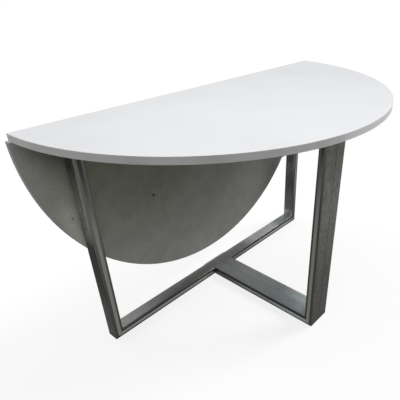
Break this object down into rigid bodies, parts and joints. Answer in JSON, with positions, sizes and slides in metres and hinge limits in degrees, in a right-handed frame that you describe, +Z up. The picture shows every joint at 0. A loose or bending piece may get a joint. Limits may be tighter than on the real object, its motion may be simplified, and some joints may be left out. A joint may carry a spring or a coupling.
{
  "type": "folding console table",
  "caption": "Half-round console table on a T-shaped box-tube base, with a hinged leaf hanging behind it that swings up to make a full round top, carried by pull-out bearers.",
  "frame": {"origin": "on the floor under the middle of the table's plan, with the leaf hanging", "axes": "+Z up; +X along the straight joint edge, to the right seen from the front; +Y to the rear, towards the hanging leaf"},
  "size_m": [1.25, 0.651, 0.733],
  "materials": {
    "white_laminate": "satin",
    "board_core": "raw particle board",
    "grey_backer": "matt",
    "edge_band": "satin",
    "steel_tube": "linished",
    "zinc_steel": "zinc plated",
    "black_nylon": "matt"
  },
  "bodies": {
    "base": {"fixed_plate_screws": "zinc_steel", "fixed_top_backer": "grey_backer", "fixed_top_core": "board_core", "fixed_top_joint_band": "edge_band", "fixed_top_laminate": "white_laminate", "fixed_top_rim_band": "edge_band", "guide_screws": "zinc_steel", "joining_screws": "zinc_steel", "left_bearer_guides": "black_nylon", "left_bearer_stop": "black_nylon", "left_front_leg": "steel_tube", "left_glides": "black_nylon", "left_hinge_fixed_plate": "zinc_steel", "left_hinge_pin": "zinc_steel", "left_rear_floor_bar": "steel_tube", "left_rear_leg": "steel_tube", "left_rear_top_rail": "steel_tube", "left_stem_floor_bar": "steel_tube", "left_stem_top_rail": "steel_tube", "left_top_spacers": "black_nylon", "lower_joining_plate": "zinc_steel", "middle_hinge_fixed_plate": "zinc_steel", "middle_hinge_pin": "zinc_steel", "right_bearer_guides": "black_nylon", "right_bearer_stop": "black_nylon", "right_front_leg": "steel_tube", "right_glides": "black_nylon", "right_hinge_fixed_plate": "zinc_steel", "right_hinge_pin": "zinc_steel", "right_rear_floor_bar": "steel_tube", "right_rear_leg": "steel_tube", "right_rear_top_rail": "steel_tube", "right_stem_floor_bar": "steel_tube", "right_stem_top_rail": "steel_tube", "right_top_spacers": "black_nylon", "stem_joining_plate": "zinc_steel", "top_mounting_screws": "zinc_steel", "upper_joining_plate": "zinc_steel"},
    "drop_leaf": {"drop_leaf_backer": "grey_backer", "drop_leaf_core": "board_core", "drop_leaf_joint_band": "edge_band", "drop_leaf_laminate": "white_laminate", "drop_leaf_rim_band": "edge_band", "leaf_locating_studs": "black_nylon", "leaf_plate_screws": "zinc_steel", "left_hinge_leaf_plate": "zinc_steel", "middle_hinge_leaf_plate": "zinc_steel", "right_hinge_leaf_plate": "zinc_steel"},
    "left_bearer": {"left_bearer": "zinc_steel", "left_bearer_knob": "black_nylon"},
    "right_bearer": {"right_bearer": "zinc_steel", "right_bearer_knob": "black_nylon"}
  },
  "joints": [
    {"name": "leaf_fold", "type": "hinge", "parent": "base", "child": "drop_leaf", "pos_m": [0, 0.3, 0.7075], "axis": [1, 0, 0], "range_deg": [0, 90]},
    {"name": "left_bearer_slide", "type": "slide", "parent": "base", "child": "left_bearer", "axis": [0, 1, 0], "range_m": [0, 0.305]},
    {"name": "right_bearer_slide", "type": "slide", "parent": "base", "child": "right_bearer", "axis": [0, 1, 0], "range_m": [0, 0.305]}
  ]
}
